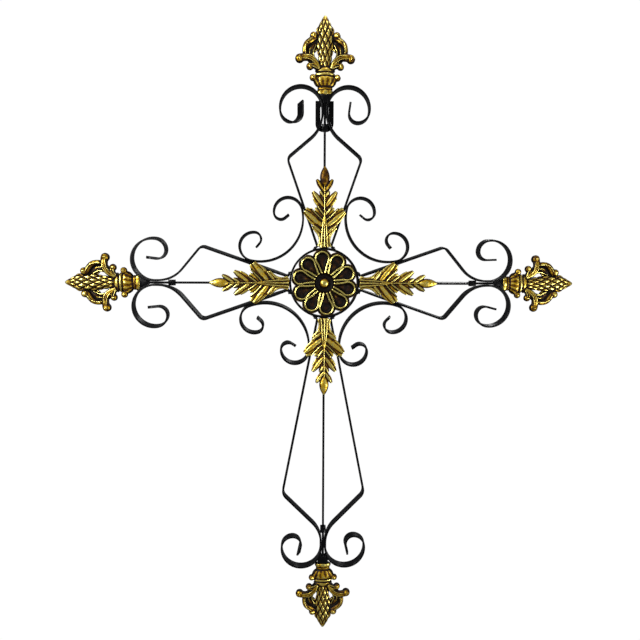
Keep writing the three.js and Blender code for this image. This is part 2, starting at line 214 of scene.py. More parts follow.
strip_section = rounded_section(strip_thickness, strip_width, strip_edge_radius)
ring_middle = ring_outer - half_strip
ring_steps = 120
ring_path = [
    (ring_middle * math.sin(a), ring_middle * math.cos(a), -a)
    for a in np.linspace(0, 2 * math.pi, ring_steps, endpoint=False)
]
new_piece(
    "ring_of_bent_strip",
    strip_points(ring_path, 0, strip_section),
    tube_faces(ring_steps, len(strip_section), closed=True),
    black_enamel,
    "black_iron",
    "centre_ring",
)

# Frame strips: eight lengths of the same strip, each bent cold from a foot on the ring out to a
# rounded corner and back in to the neck of its arm, and rolled round a peg into an open scroll.

foot_length = 5.5 * mm
foot_across = 9.6 * mm
foot_bend_radius = 3 * mm
foot_radius = ring_outer + contact_gap + half_strip
foot_angle = math.asin(foot_across / foot_radius)
foot_corner = (foot_across, foot_radius * math.cos(foot_angle))
tang_thickness = 3.2 * mm
neck_half = tang_thickness / 2 + contact_gap + half_strip
neck_bend_radius = 45 * mm
# An arm's sizes in millimetres, and how steeply it narrows from its wide bend to the neck, in degrees
short_arm = {"reach": 246, "bend_across": 53.3, "bend_radius": 9, "lean": 50, "neck": 6}
long_arm = {"reach": 406, "bend_across": 62, "bend_radius": 14, "lean": 44.5, "neck": 9}
# A scroll is rolled in two turns of (radius in millimetres, degrees), then an eye and a straight tail
scroll_turns = [(30, 190), (16.5, 78)]
scroll_eye_radius = 12.5 * mm
scroll_eye_turn = 92
scroll_tail = 15 * mm
tail_twist_length = 44 * mm


class BentPath:
    """The middle line of a strip as a smith bends it: straight runs, and turns round a radius."""

    def __init__(self, across, along, heading):
        self.x, self.y, self.heading = across, along, heading
        self.points = [(across, along, heading)]

    def straight(self, length):
        for _ in range(pieces := max(1, round(length / (6 * mm)))):
            self.x += length / pieces * math.cos(self.heading)
            self.y += length / pieces * math.sin(self.heading)
            self.points.append((self.x, self.y, self.heading))
        return self

    def turn(self, radius, angle):
        """A positive angle turns to the left."""
        steps = max(3, math.ceil(abs(angle) / math.radians(5)))
        step = angle / steps
        chord = 2 * radius * math.sin(abs(step) / 2)
        for _ in range(steps):
            self.x += chord * math.cos(self.heading + step / 2)
            self.y += chord * math.sin(self.heading + step / 2)
            self.heading += step
            self.points.append((self.x, self.y, self.heading))
        return self

    def bend_at(self, corner, toward, radius):
        outgoing = math.atan2(toward[1] - corner[1], toward[0] - corner[0])
        angle = math.remainder(outgoing - self.heading, 2 * math.pi)
        set_back = radius * math.tan(abs(angle) / 2)
        distance = math.hypot(corner[0] - self.x, corner[1] - self.y)
        return self.straight(distance - set_back).turn(radius, angle)


def arm_corners(arm):
    """The corner of an arm's neck bend and the corner of its wide bend."""
    lean = math.radians(arm["lean"])
    neck_along = (arm["reach"] - arm["neck"]) * mm - neck_bend_radius * math.tan(lean / 2)
    bend_across = arm["bend_across"] * mm
    return (neck_half, neck_along), (bend_across, neck_along - (bend_across - neck_half) / math.tan(lean))


def frame_strip_path(arm, eye_change):
    """The strip on the right of an arm, from its foot on the ring to the end of its scroll."""
    neck, bend = arm_corners(arm)
    foot_end_angle = foot_angle + foot_length / foot_radius
    foot_end = (foot_radius * math.sin(foot_end_angle), foot_radius * math.cos(foot_end_angle))
    heading = math.atan2(foot_corner[1] - foot_end[1], foot_corner[0] - foot_end[0])
    path = BentPath(*foot_end, heading)
    path.bend_at(foot_corner, bend, foot_bend_radius)
    path.bend_at(bend, neck, arm["bend_radius"] * mm)
    path.bend_at(neck, (neck_half, arm["reach"] * mm), neck_bend_radius)
    path.straight(arm["neck"] * mm)
    for radius, angle in scroll_turns:
        path.turn(radius * mm, -math.radians(angle))
    path.turn(scroll_eye_radius, -math.radians(scroll_eye_turn + eye_change))
    return path.straight(scroll_tail).points


def mirrored(path):
    """The same strip on the left of the arm."""
    return [(-x, y, math.pi - heading) for x, y, heading in path]


# Clockwise from the top, with the names of the strips on the left and right of the drawing and of the
# corner that follows. No two scrolls are alike: a tail is (twisted, turned further in), both in
# degrees, and cut with a slant. The strips of the side arms also lean, front against back.
arms = [
    {"name": "top", "form": short_arm, "sides": ("left", "right"), "corner": "upper_right"},
    {"name": "right", "form": short_arm, "sides": ("upper", "lower"), "corner": "lower_right"},
    {"name": "bottom", "form": long_arm, "sides": ("right", "left"), "corner": "lower_left"},
    {"name": "left", "form": short_arm, "sides": ("lower", "upper"), "corner": "upper_left"},
]
tails = {
    "top": ((-38, 0, -0.35), (4, 8, 0.3)),
    "right": ((8, 2, 0.3), (8, 15, 0.3)),
    "bottom": ((8, 13, 1.1), (8, 12, 1.1)),
    "left": ((-9, 6, 0.3), (-7, 7, 0.3)),
}
leans = {"top": 0, "right": -0.15, "bottom": 0, "left": 0.22}
for i, arm in enumerate(arms):
    arm["turn"] = i * math.pi / 2

for arm in arms:
    name, turn, lean = arm["name"], arm["turn"], leans[arm["name"]]
    for side, drawn, tail in zip(arm["sides"], (mirrored, list), tails[name]):
        twist, eye_change, oblique = math.radians(tail[0]), *tail[1:]
        line = drawn(frame_strip_path(arm["form"], eye_change))
        new_piece(
            f"bent_strip_{name}_{side}",
            strip_points(line, turn, strip_section, twist, tail_twist_length, oblique, lean),
            tube_faces(len(line), len(strip_section)),
            black_enamel,
            "black_iron",
            f"frame_strip_{name}_{side}",
        )

# Corner scrolls: one strip in each corner, bent as a hollow quarter with a curl at both ends, and
# welded by its curls to the two frame strips that it lies against.

curl_along = 101.8 * mm
curl_radius = 20.5 * mm
curl_turn = math.radians(172)
curl_eye_turn = math.radians(125)
curl_tail = 7 * mm
curl_twist = math.radians(10)
curl_twist_length = 16 * mm
curl_oblique = 0.2
corner_arc_out = 22.6 * mm
# No two are bent alike. By corner: the radii of the two eyes and how far each weld slipped along its
# arm, in millimetres, the first arm's first, and how steeply the strip rises from front to back.
corner_bends = {
    "upper_right": ((9.4, 10.4), (0, 0), -0.06),
    "lower_right": ((10.2, 10.6), (0, -1), 0.18),
    "lower_left": ((10.4, 10), (-4, 0), 0.2),
    "upper_left": ((9.6, 9.8), (0, 0), -0.06),
}


def curl_middle(arm, along=curl_along):
    """How far across the middle of a curl stands beside an arm's strip, and the strip's lean there."""
    _, bend = arm_corners(arm)
    lean = math.atan2(bend[0] - foot_corner[0], bend[1] - foot_corner[1])
    beside = (curl_radius + strip_thickness + contact_gap) / math.cos(lean)
    return foot_corner[0] + (along - foot_corner[1]) * math.tan(lean) + beside, lean


def corner_scroll_path(first_arm, next_arm, eye_radii, slips):
    """The strip in the corner between two arms, both halves of it drawn from the middle outwards."""
    first_along, next_along = (curl_along + slip * mm for slip in slips)
    first = Vector((curl_middle(first_arm, first_along)[0], first_along))
    following = Vector((next_along, curl_middle(next_arm, next_along)[0]))
    half_chord = (following - first).length / 2
    outwards = Vector((first.y - following.y, following.x - first.x)).normalized()
    arc_radius = math.hypot(half_chord, corner_arc_out) + curl_radius
    arc_middle = (first + following) / 2 + outwards * (corner_arc_out - arc_radius)
    half_sweep = math.atan2(half_chord, corner_arc_out)
    facing = math.atan2(outwards.y, outwards.x)
    halves = []
    for side, eye_radius in zip((1, -1), eye_radii):
        path = BentPath(*arc_middle, facing + side * math.pi / 2)
        path.turn(arc_radius, -side * half_sweep).turn(curl_radius, -side * curl_turn)
        halves.append(path.turn(eye_radius * mm, -side * curl_eye_turn).straight(curl_tail).points)
    backwards = [(x, y, heading + math.pi) for x, y, heading in reversed(halves[1][1:])]
    return backwards + halves[0]


for arm, following in zip(arms, arms[1:] + arms[:1]):
    eye_radii, slips, roll = corner_bends[arm["corner"]]
    line = corner_scroll_path(arm["form"], following["form"], eye_radii, slips)
    points = strip_points(line, arm["turn"], strip_section, curl_twist, curl_twist_length, curl_oblique)
    new_piece(
        f"scrolled_strip_{arm['corner']}",
        [(x, y, z + roll * (y - middle.y)) for x, y, z in points],
        tube_faces(len(line), len(strip_section)),
        black_enamel,
        "black_iron",
        f"corner_scroll_{arm['corner']}",
    )

# Centre bars, stems and hanging loop: plain black bar, with the eased edges of rolled stock. A narrow
# strip on edge runs from each leaf to the block of its finial's stem, which passes between the strips
# of the neck to a socket for the casting. The loop is welded behind the neck of the top arm.

stem_easing = 0.6 * mm
loop_easing = 0.9 * mm


def eased_copy(name, node, easing):
    """A piece with a CAD node's own shape, its sharp edges rounded."""
    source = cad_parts[node].data
    points = [v.co.copy() for v in source.vertices]
    faces = [tuple(p.vertices) for p in source.polygons]
    piece = new_piece(name, points, faces, black_enamel, "black_iron", node)
    bpy.context.view_layer.objects.active = piece
    weld = piece.modifiers.new("joined corners", "WELD")
    weld.merge_threshold = 0.01 * mm
    bevel = piece.modifiers.new("eased edges", "BEVEL")
    bevel.width = easing
    bevel.segments = 3
    bevel.limit_method = "ANGLE"
    bevel.angle_limit = math.radians(30)
    bevel.harden_normals = True


# The one in the right arm was welded in askew, so that it shows its upper face
centre_bar_tilts = {"top": 0, "right": -12, "bottom": 0, "left": 1.5}
for arm in arms:
    eased_copy(f"stem_bar_{arm['name']}", f"finial_stem_{arm['name']}", stem_easing)
    bar_low, bar_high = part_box(f"centre_bar_{arm['name']}")
    ends = sorted(((bar_low - middle).length, (bar_high - middle).length))
    narrow = rounded_section(strip_thickness, bar_high.y - bar_low.y, strip_edge_radius)
    tilt = math.radians(centre_bar_tilts[arm["name"]])
    cosine, sine = math.cos(tilt), math.sin(tilt)
    tilted = [(a * cosine - b * sine, a * sine + b * cosine) for a, b in narrow]
    line = [(0, along, math.pi / 2) for along in np.linspace(*ends, 24)]
    new_piece(
        f"centre_strip_{arm['name']}",
        strip_points(line, arm["turn"], tilted),
        tube_faces(len(line), len(tilted)),
        black_enamel,
        "black_iron",
        f"centre_bar_{arm['name']}",
    )
eased_copy("loop_of_bar", "hanging_loop", loop_easing)

# Weld beads: arc weld run from front to back down the joints between strips, lumpy and painted over
# with the rest. Each curl has one on either side of where it touches, and each foot has one outside.

curl_bead = (10 * mm, 1.1 * mm)
curl_bead_offset = 1.9 * mm
foot_bead = (10.5 * mm, 1.2 * mm)
foot_bead_radius = ring_outer + 0.4 * mm
foot_bead_angle = foot_angle + foot_length / foot_radius + 0.02
random = np.random.default_rng(7)


def weld_bead(turn, across, along, length, radius):
    """A lumpy bead that runs from front to back, as (points, faces)."""
    rings, sides = 14, 10
    points = []
    for i in range(rings):
        share = i / (rings - 1)
        swell = radius * math.sqrt(max(1 - (2 * share - 1) ** 6, 0.05)) * (0.9 + 0.12 * math.sin(i * 2.4))
        for j in range(sides):
            angle = 2 * math.pi * j / sides
            reach = swell * (0.92 + 0.16 * random.random())
            points.append(set_out(
                turn,
                across + reach * math.cos(angle),
                along + reach * math.sin(angle),
                (share - 0.5) * length,
            ))
    return points, tube_faces(rings, sides)


def joined(parts):
    """Several (points, faces) as one."""
    points, faces = [], []
    for part_points, part_faces in parts:
        faces += [tuple(i + len(points) for i in face) for face in part_faces]
        points += list(part_points)
    return points, faces


beads = []
for arm in arms:
    curl_across, lean = curl_middle(arm["form"])
    touch = curl_radius + half_strip + contact_gap / 2
    for side in (-1, 1):
        for offset in (-curl_bead_offset, curl_bead_offset):
            across = curl_across - touch * math.cos(lean) + offset * math.sin(lean)
            along = curl_along + touch * math.sin(lean) + offset * math.cos(lean)
            beads.append(weld_bead(arm["turn"], side * across, along, *curl_bead))
        across = foot_bead_radius * math.sin(foot_bead_angle)
        along = foot_bead_radius * math.cos(foot_bead_angle)
        beads.append(weld_bead(arm["turn"], side * across, along, *foot_bead))
new_piece("weld_beads", *joined(beads), black_enamel, "black_iron")

# Rosette: a flower of ten dished petals round a ball button, sand-cast, painted dark brown and
# then rubbed with gold, which stays on what stands up and leaves the hollows dark.

# Antique gold: bronze paint rubbed thin over near-black brown. It gives bright smooth ridges, partly
# real gold and partly painted highlight, duller flats with the brown showing through in patches, dark
# hollows where the rag didn't reach, and sides darkened as painted shade. The share of gold is worked out
# for each point of a casting.
antique_gold, tree, shader = new_material("antique_gold_rubbed_over_brown_with_painted_light", "#b8922c")
# The share of gold read here also carries painted shade on the sides that turn away from the front
gilding_and_shade = add_node(tree, "ShaderNodeAttribute", {"attribute_name": "gilding_and_shade"}).outputs["Fac"]
place = add_node(tree, "ShaderNodeTexCoord").outputs["Object"]
patches = add_node(tree, "ShaderNodeTexNoise", inputs={"Scale": 1 / (5 * mm), "Detail": 5}, Vector=place)
grit = add_node(tree, "ShaderNodeTexNoise", inputs={"Scale": 1 / (0.9 * mm), "Detail": 3}, Vector=place)
uneven = add_node(
    tree,
    "ShaderNodeMapRange",
    inputs={"From Min": 0.3, "From Max": 0.7, "To Min": -0.12, "To Max": 0.12},
    Value=patches.outputs["Fac"],
)
rubbed_and_shaded = add_node(tree, "ShaderNodeMath", {"operation": "ADD", "use_clamp": True})
tree.links.new(gilding_and_shade, rubbed_and_shaded.inputs[0])
tree.links.new(uneven.outputs["Result"], rubbed_and_shaded.inputs[1])
rubbed_and_shaded = rubbed_and_shaded.outputs["Value"]
# The palest stop, on the most gilded ridges that face the front, is partly real gold and partly a painted
# highlight
gold_and_highlight_stops = [(0.1, "#0c0603"), (0.31, "#301905"), (0.45, "#6e4a08")]
gold_and_highlight_stops += [(0.56, "#c8a01c"), (0.74, "#fff08a")]
tree.links.new(ramp(tree, rubbed_and_shaded, *gold_and_highlight_stops), shader.inputs["Base Color"])
metal = add_node(
    tree, "ShaderNodeMapRange", inputs={"From Min": 0.3, "From Max": 0.7, "To Max": 0.9}, Value=rubbed_and_shaded
)
tree.links.new(metal.outputs["Result"], shader.inputs["Metallic"])
gloss = add_node(
    tree,
    "ShaderNodeMapRange",
    inputs={"From Min": 0.2, "From Max": 0.8, "To Min": 0.5, "To Max": 0.27},
    Value=rubbed_and_shaded,
)
tree.links.new(gloss.outputs["Result"], shader.inputs["Roughness"])
cast_skin = add_node(
    tree, "ShaderNodeBump", inputs={"Strength": 0.22, "Distance": 0.2 * mm}, Height=grit.outputs["Fac"]
)
tree.links.new(cast_skin.outputs["Normal"], shader.inputs["Normal"])
shader.inputs["Specular IOR Level"].default_value = 0.14


def gild_and_shade(pieces, reach, ridge, level=0.42, shares=None):
    """Sets how much gold each point keeps, with painted shade: most on ridges that face the front, least
    in hollows and on sides that turn from the front.

    A ridge stands out from its surroundings, blurred in as many rounds as reach says, by about the
    height that ridge says. Given shares are changed less by it. All the pieces are one pattern."""
    mesh = pieces[0].data
    count = len(mesh.vertices)
    points = np.empty(count * 3)
    mesh.vertices.foreach_get("co", points)
    points = points.reshape(-1, 3)
    normals = np.empty(count * 3)
    mesh.vertices.foreach_get("normal", normals)
    normals = normals.reshape(-1, 3)
    edges = np.empty(len(mesh.edges) * 2, dtype=np.int64)
    mesh.edges.foreach_get("vertices", edges)
    first, second = edges.reshape(-1, 2).T
    neighbours = np.maximum(np.bincount(first, minlength=count) + np.bincount(second, minlength=count), 1)

    def blurred(values, rounds):
        for _ in range(rounds):
            total = np.zeros_like(values)
            np.add.at(total, first, values[second])
            np.add.at(total, second, values[first])
            values = 0.5 * values + 0.5 * total / neighbours[:, None]
        return values

    near = blurred(points, reach)
    far = blurred(near, 3 * reach)
    height = ((points - near) * normals).sum(1) / ridge + ((points - far) * normals).sum(1) / ridge / 4
    height = blurred(height[:, None], 1)[:, 0]
    # Painted shade: gold is kept in full where a point faces the front within 18 degrees, and little
    # beyond 53, so sides and backs show dark
    facing = np.clip((-normals[:, 1] - 0.6) / 0.35, 0, 1)
    gold_and_shade = level + 0.5 * height if shares is None else shares + 0.25 * height
    gold_and_shade = np.clip(gold_and_shade, 0, 1) * (0.12 + 0.88 * facing)
    for piece in pieces:
        values = piece.data.attributes.new("gilding_and_shade", "FLOAT", "POINT")
        values.data.foreach_set("value", gold_and_shade.astype(np.float32))


petal_count = 10
petal_turn = math.radians(-5)
petal_tip_middle = 35.6 * mm
petal_tip_radius = 9.7 * mm
petal_root_middle = 12 * mm
petal_root_radius = 1.5 * mm
petal_stalk_radius = 7.3 * mm
petal_blend = 2 * mm
petal_edge = 4.2 * mm
rim_half_width = 1.25 * mm
hollow_depth = 3.6 * mm
hollow_slope = 3 * mm
groove_depth = 2.6 * mm
dish_radius = 13.5 * mm
dish_depth = 5.2 * mm
button_radius = 7.8 * mm
rosette_reach = 47.7 * mm
rosette_low, rosette_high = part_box("rosette")


def from_drop(across, along, span, root_radius, tip_radius):
    """Distance from the outline of a drop, the hull of a circle at 0 and one at the span."""
    slope = (root_radius - tip_radius) / span
    side = math.sqrt(1 - slope * slope)
    reach = along * side - across * slope
    beside = across * side + along * slope - root_radius
    at_root = np.hypot(across, along) - root_radius
    at_tip = np.hypot(across, along - span) - tip_radius
    return np.where(reach < 0, at_root, np.where(reach > span * side, at_tip, beside))


def from_petal_rim(radius, angle):
    """Distance from the rim line of the nearest petal, negative within it: a stalk under a round."""
    sector = 2 * math.pi / petal_count
    offset = np.abs((angle - petal_turn + sector / 2) % sector - sector / 2)
    across = radius * np.sin(offset)
    along = radius * np.cos(offset)
    span = petal_tip_middle - petal_root_middle
    stalk = from_drop(
        across, along - petal_root_middle, span * 0.8, petal_root_radius, petal_stalk_radius
    )
    tip = np.hypot(across, along - petal_tip_middle) - petal_tip_radius
    share = np.clip(0.5 + 0.5 * (tip - stalk) / petal_blend, 0, 1)
    return tip * (1 - share) + stalk * share - petal_blend * share * (1 - share)


def rosette_depth(radius, angle):
    """How far a point of the face lies behind the rims, which stand furthest out."""
    rim = from_petal_rim(radius, angle)
    hollow = hollow_depth * np.clip(-(rim + rim_half_width) / hollow_slope, 0, 1) ** 0.6
    groove = groove_depth * np.clip((rim - 1 * mm) / (1.2 * mm), 0, 1) ** 0.7
    rounding = 0.4 * mm * np.clip(np.abs(rim) / rim_half_width, 0, 1) ** 2
    ripple = 0.3 * mm * np.cos(radius / (1.7 * mm)) * np.clip(-(rim + 2 * mm) / hollow_slope, 0, 1)
    petals = hollow + groove + rounding + ripple
    fade = np.clip((radius - dish_radius + 1.2 * mm) / (2.4 * mm), 0, 1)
    dish = dish_depth - 1.2 * mm * np.clip(radius / dish_radius, 0, 1) ** 2
    face = petals * fade + dish * (1 - fade)
    ball = dish - np.sqrt(np.clip(button_radius**2 - radius**2, 0, None)) * 0.72
    return np.where(radius < button_radius, np.minimum(ball, dish), face)


def rosette_gold(piece):
    """The share of gold: most on the rims and the button, streaks towards the petals' roots."""
    points = np.array([vertex.co[:] for vertex in piece.data.vertices])
    across, along = points[:, 0] - middle.x, points[:, 2] - middle.z
    radius, angles = np.hypot(across, along), np.arctan2(across, along)
    below_rim = (points[:, 1] - rosette_low.y - 0.15 * mm) / (1.25 * mm)
    petals = 0.8 - 0.64 * np.clip(below_rim, 0, 1)
    root = np.clip(1 - (radius - dish_radius) / (24 * mm), 0, 1) * (radius > dish_radius)
    streaks = 0.5 + 0.5 * np.sin(83 * angles + 4 * np.sin(7 * angles) + radius / (2.2 * mm))
    petals += root * (0.12 + 0.34 * streaks**2)
    # Darker on the edge outside the rims
    outside = (from_petal_rim(radius, angles) - 1.2 * mm) / (1.2 * mm)
    petals -= 0.5 * np.clip(outside, 0, 1) * (radius > petal_tip_middle)
    button = 0.88 - 0.7 * radius / button_radius
    return np.clip(np.where(radius < button_radius, button, petals), 0, 1)


def rosette_mesh():
    """The casting as rings of points from the middle of its face out, over the edge and back in."""
    turns, rows = 480, 84
    angles = np.linspace(0, 2 * math.pi, turns, endpoint=False)
    # The outline is where the distance from the rim line reaches the petals' dark edge
    reach = np.linspace(30 * mm, 49 * mm, 400)
    inside = from_petal_rim(reach[:, None], angles[None, :]) < petal_edge
    outline = np.minimum(reach[len(reach) - 1 - np.argmax(inside[::-1], axis=0)], rosette_reach)
    rings = []
    for share in np.linspace(0, 1, rows)[1:]:
        radius = outline * share
        rings.append((radius, rosette_depth(radius, angles)))
    edge_depth = rings[-1][1]
    back = rosette_high.y - rosette_low.y
    # Round the edge, and in over a slightly hollow back
    rings.append((outline, np.maximum(edge_depth + 1.2 * mm, 3.6 * mm)))
    rings.append((outline * 0.995, np.full(turns, back - 1 * mm)))
    rings.append((outline * 0.97, np.full(turns, back)))
    for share in np.linspace(0.9, 0.06, 12):
        rings.append((outline * share, np.full(turns, back - 1.5 * mm * (1 - share) * 2)))
    at_middle = np.zeros(1)
    button_top = float(rosette_depth(at_middle, at_middle)[0])
    points = [(middle.x, rosette_low.y + button_top, middle.z)]
    for radius, depth in rings:
        for r, a, d in zip(radius, angles, depth):
            points.append((middle.x + r * math.sin(a), rosette_low.y + d, middle.z + r * math.cos(a)))
    points.append((middle.x, rosette_low.y + back - 2.8 * mm, middle.z))
    faces = [(0, 1 + (j + 1) % turns, 1 + j) for j in range(turns)]
    for i in range(len(rings) - 1):
        a, b = 1 + i * turns, 1 + (i + 1) * turns
        faces += [(a + j, a + (j + 1) % turns, b + (j + 1) % turns, b + j) for j in range(turns)]
    last, a = len(points) - 1, 1 + (len(rings) - 1) * turns
    faces += [(last, a + j, a + (j + 1) % turns) for j in range(turns)]
    return points, faces


rosette = new_piece("cast_rosette", *rosette_mesh(), antique_gold, "antique_gold", "rosette")
gild_and_shade([rosette], 14, 0.42 * mm, shares=rosette_gold(rosette))

# Leaf sprays: a cast leaf on each arm, all from one pattern, laid over the front edges of the strips.
# A fluted stem stands on the ring, banded lobes rise from a midrib, and a bud ends it. Its numbers are
# in millimetres from the middle of the cross.


def smooth_rows(rows, steps):
    """Rows of numbers interpolated along a Catmull-Rom curve."""
    rows = np.array(rows, float)
    padded = np.vstack([2 * rows[0] - rows[1], rows, 2 * rows[-1] - rows[-2]])
    made = []
    for place in np.linspace(0, len(rows) - 1, steps):
        i = min(int(place), len(rows) - 2)
        t = place - i
        a, b, c, d = padded[i : i + 4]
        square, cube = 2 * a - 5 * b + 4 * c - d, 3 * b - a - 3 * c + d
        made.append(0.5 * (2 * b + (c - a) * t + square * t * t + cube * t**3))
    return np.array(made)


def bar(rows, steps=18, sides=12):
    """A bar along a curve. A row is (across, along, depth, half width, half thickness)."""
    curve = smooth_rows(rows, steps)
    curve[:, 3:] = np.maximum(curve[:, 3:], 0.15)
    run = np.gradient(curve[:, :2], axis=0)
    run /= np.linalg.norm(run, axis=1)[:, None]
    points = []
    for (across, along, depth, width, thickness), (dx, dy) in zip(curve, run):
        for j in range(sides):
            angle = 2 * math.pi * j / sides
            side, lift = width * math.cos(angle), thickness * math.sin(angle)
            points.append((across - side * dy, depth + lift, along + side * dx))
    return points, tube_faces(len(curve), sides)


def both_sides(rows):
    """A bar's rows, and the same to the left of the arm's middle."""
    return [rows, [(-row[0], *row[1:]) for row in rows]]


def cast_together(parts, voxel, rounds):
    """Melts overlapping parts, in millimetres, into one skin and softens it as sand casting does."""
    points, faces = joined(parts)
    mesh = bpy.data.meshes.new("melt")
    mesh.from_pydata([tuple(p) for p in points], [], faces)
    scratch = bpy.data.objects.new("melt", mesh)
    bpy.context.scene.collection.objects.link(scratch)
    remesh = scratch.modifiers.new("melt", "REMESH")
    remesh.mode = "VOXEL"
    remesh.voxel_size = voxel
    soften = scratch.modifiers.new("soften", "SMOOTH")
    soften.iterations = rounds
    soften.factor = 0.5
    bpy.context.view_layer.update()
    evaluated = scratch.evaluated_get(bpy.context.evaluated_depsgraph_get())
    melted = evaluated.to_mesh()
    points = np.array([v.co[:] for v in melted.vertices])
    faces = [tuple(p.vertices) for p in melted.polygons]
    evaluated.to_mesh_clear()
    bpy.data.objects.remove(scratch)
    bpy.data.meshes.remove(mesh)
    return points, faces


def placed(points, turn, along=0):
    """A casting's points, in millimetres, as points of the cross on an arm."""
    return [set_out(turn, x * mm, z * mm + along, y * mm) for x, y, z in points]


# A lobe is (root, tip across, tip along, half width, band), in millimetres: it leaves the midrib at
# its root. The raised band along its middle takes that share of its width, and 0 is a plain blade.
leaf_lobes = [
    (130, 11.4, 147, 4, 0.62),
    (121, 6.6, 131, 3.4, 0.6),
    (108, 17, 130, 5.2, 0.62),
    (103, 16.4, 121, 3.4, 0),
    (96, 10.4, 110, 3, 0.55),
    (91, 13.6, 107.4, 3.4, 0),
    (87, 26.2, 107, 4, 0),
    (88, 20, 107, 1.8, 0.7),
    (79.5, 28.8, 102.4, 6.6, 0.58),
    (75, 24, 92, 3.4, 0),
    (69.5, 17, 82.4, 4.2, 0.6),
]
strip_front = -strip_width / mm / 2
leaf_back = strip_front - 0.3


def leaf_parts():
    """The bars that a leaf's pattern is made up of."""
    parts = []
    for root, tip_across, tip_along, half, band in leaf_lobes:
        run = np.array([tip_across, tip_along - root])
        square = np.array([-run[1], run[0]]) / np.linalg.norm(run)
        shares = (0, 0.35, 0.7, 1)
        curve = [(share * tip_across, root + (tip_along - root) * share**1.15) for share in shares]
        widths = (0.72, 0.95, 1, 0.5)
        lines = [(0, half, 1.1)]
        if band:
            lines.append((0.06, half * band, 1.8))
        for offset, width, rise in lines:
            rows = []
            for (x, z), w in zip(curve, widths):
                x, z = np.array((x, z)) + square * half * offset * w
                rows.append((x, z, leaf_back - rise, width * w, rise * (0.6 + 0.4 * w)))
            parts += [bar(side, sides=10) for side in both_sides(rows)]
    for side in (-1, 0, 1):
        flute = [
            (side * 5.4, 51.1, leaf_back - 2.9 + 0.5 * abs(side), 2.5, 2.1),
            (side * 4.2, 58, leaf_back - 3 + 0.5 * abs(side), 1.9, 1.9),
            (side * 3.8, 68, leaf_back - 3 + 0.5 * abs(side), 1.6, 1.7),
            (side * 2.4, 84, leaf_back - 2.6, 1, 1.5),
            (side * 0.6, 100, leaf_back - 2.3, 0.7, 1.2),
        ]
        parts.append(bar(flute))
    # The outermost flutes leave the stem as the lowest pair of blades
    for rows in both_sides([
        (8.8, 52.4, leaf_back - 1.8, 1.6, 1.4),
        (6.8, 61, leaf_back - 2, 1.7, 1.5),
        (8.8, 70, leaf_back - 1.8, 2.2, 1.4),
        (17.4, 79, leaf_back - 1.4, 1.3, 1),
    ]):
        parts.append(bar(rows))
    midrib = [(84, 1.3, 1.8), (115, 1.05, 1.5), (141, 0.9, 1.2)]
    parts.append(bar([(0, z, leaf_back - 2.6, width, thickness) for z, width, thickness in midrib]))
    stem = [(51.1, 7.6, -3.4, 5.6), (60, 5.8, -3.2, 5.2), (70, 5.9, -3.4, 4.8), (80, 4.8, -5.4, 2.4)]
    parts.append(bar([(0, z, depth, width, thickness) for z, width, depth, thickness in stem]))
    # A thin web carries the roots of the lobes
    web = [(70, 6, 1.4), (86, 6.6, 1.2), (108, 6.6, 1.3), (122, 7, 1.4), (131, 6.8, 1.4), (139, 4.6, 1.2)]
    parts.append(bar([(0, z, leaf_back - 0.9, width, thickness) for z, width, thickness in web]))
    bud = [(138, 1.8, 1.2), (142, 5.1, 2.6), (148.5, 7, 3.8), (155.5, 6.1, 3.4)]
    bud += [(161, 3.7, 2.2), (164.8, 1.3, 1)]
    bud = [(0, z, leaf_back - 2.2, width, thickness) for z, width, thickness in bud]
    parts.append(bar(bud, sides=24))
    return parts


leaf_points, leaf_faces = cast_together(leaf_parts(), 0.5, 3)
leaves = [
    new_piece(
        f"cast_leaf_{arm['name']}",
        placed(leaf_points, arm["turn"]),
        leaf_faces,
        antique_gold,
        "antique_gold",
        f"leaf_spray_{arm['name']}",
    )
    for arm in arms
]
gild_and_shade(leaves, 12, 0.36 * mm, level=0.5)

# The top leaf is made darker towards its tip, over its last lobes and the bud
browner_from = 124 * mm
brown_over = 22 * mm
brown_share = 0.36
top_gilding_and_shade = leaves[0].data.attributes["gilding_and_shade"].data
top_points = np.array([vertex.co[:] for vertex in leaves[0].data.vertices])
gold_and_shade = np.empty(len(top_points), np.float32)
top_gilding_and_shade.foreach_get("value", gold_and_shade)
towards_tip = np.clip((top_points[:, 2] - middle.z - browner_from) / brown_over, 0, 1)
top_gilding_and_shade.foreach_set("value", (gold_and_shade * (1 - brown_share * towards_tip)).astype(np.float32))

# Finials: a flame of lozenge scales between scrolled leaves, on a ringed neck, a fluted bowl and a
# scalloped foot that stands between the scrolls of the arm. Each is one sand casting, of the same
# pattern. Its numbers are in millimetres from its foot.

finial_depth = 15


def turned_casting(rows, segments, shape):
    """A turned form about the arm, flattened from front to back, of rows of (radius, height).

    The shape gives what the radius is multiplied by round each row."""
    curve = np.array(rows, float)
    flat = finial_depth / 2 / curve[:, 0].max()
    angles = np.linspace(0, 2 * math.pi, segments, endpoint=False)
    points = []
    for radius, height in curve:
        for a, s in zip(angles, shape(angles, height)):
            points.append((radius * s * math.sin(a), -radius * s * math.cos(a) * flat, height))
    return points, tube_faces(len(curve), segments)


